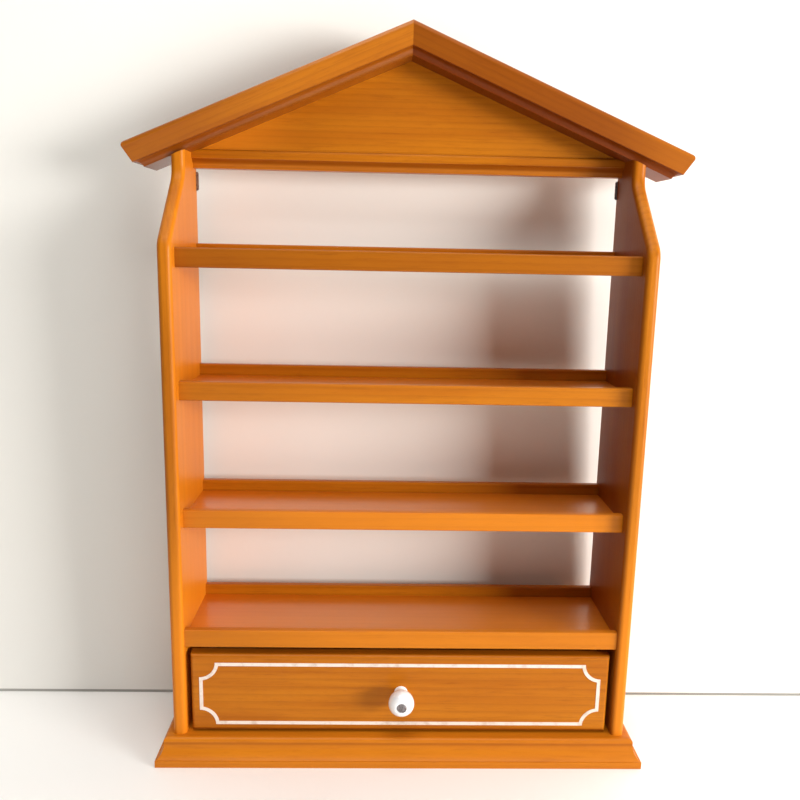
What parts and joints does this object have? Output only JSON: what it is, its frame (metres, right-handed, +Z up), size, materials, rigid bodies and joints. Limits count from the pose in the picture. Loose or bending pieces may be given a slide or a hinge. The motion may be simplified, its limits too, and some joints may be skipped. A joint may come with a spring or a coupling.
{
  "type": "miniature display bookcase",
  "caption": "House-shaped open-backed display shelf with gable roof, lipped shelves, hanger plates and one shallow sliding drawer with a round knob.",
  "frame": {"origin": "centre of the base board's underside", "axes": "+X to the right as seen from the front, +Y to the back, +Z up"},
  "size_m": [0.3948, 0.1004, 0.5206],
  "materials": {
    "lacquered_wood": "gloss",
    "tray_wood": "matt",
    "tray_floor": "matt",
    "porcelain": "gloss glaze",
    "white_paint": "satin",
    "steel": "satin"
  },
  "bodies": {
    "carcass": {"base_board": "lacquered_wood", "base_screws": "steel", "drawer_bay_back": "lacquered_wood", "gable_panel": "lacquered_wood", "gable_rail": "lacquered_wood", "hanger_plate_left": "steel", "hanger_plate_right": "steel", "hanger_screws": "steel", "roof_board_left": "lacquered_wood", "roof_board_right": "lacquered_wood", "roof_brads": "steel", "shelf_board_1": "lacquered_wood", "shelf_board_2": "lacquered_wood", "shelf_board_3": "lacquered_wood", "shelf_board_4": "lacquered_wood", "shelf_lip_1": "lacquered_wood", "shelf_lip_2": "lacquered_wood", "shelf_lip_3": "lacquered_wood", "shelf_lip_4": "lacquered_wood", "shelf_rail_1": "lacquered_wood", "shelf_rail_2": "lacquered_wood", "shelf_rail_3": "lacquered_wood", "shelf_rail_4": "lacquered_wood", "side_brads": "steel", "side_panel_left": "lacquered_wood", "side_panel_right": "lacquered_wood"},
    "drawer": {"drawer_back": "tray_wood", "drawer_bottom": "tray_floor", "drawer_brads": "steel", "drawer_front": "lacquered_wood", "drawer_knob": "porcelain", "drawer_line": "white_paint", "drawer_side_left": "tray_wood", "drawer_side_right": "tray_wood", "knob_nut": "steel", "knob_screw": "steel", "knob_washer": "steel"}
  },
  "joints": [
    {"name": "drawer_slide", "type": "slide", "parent": "carcass", "child": "drawer", "axis": [0, -1, 0], "range_m": [0, 0.055]}
  ]
}
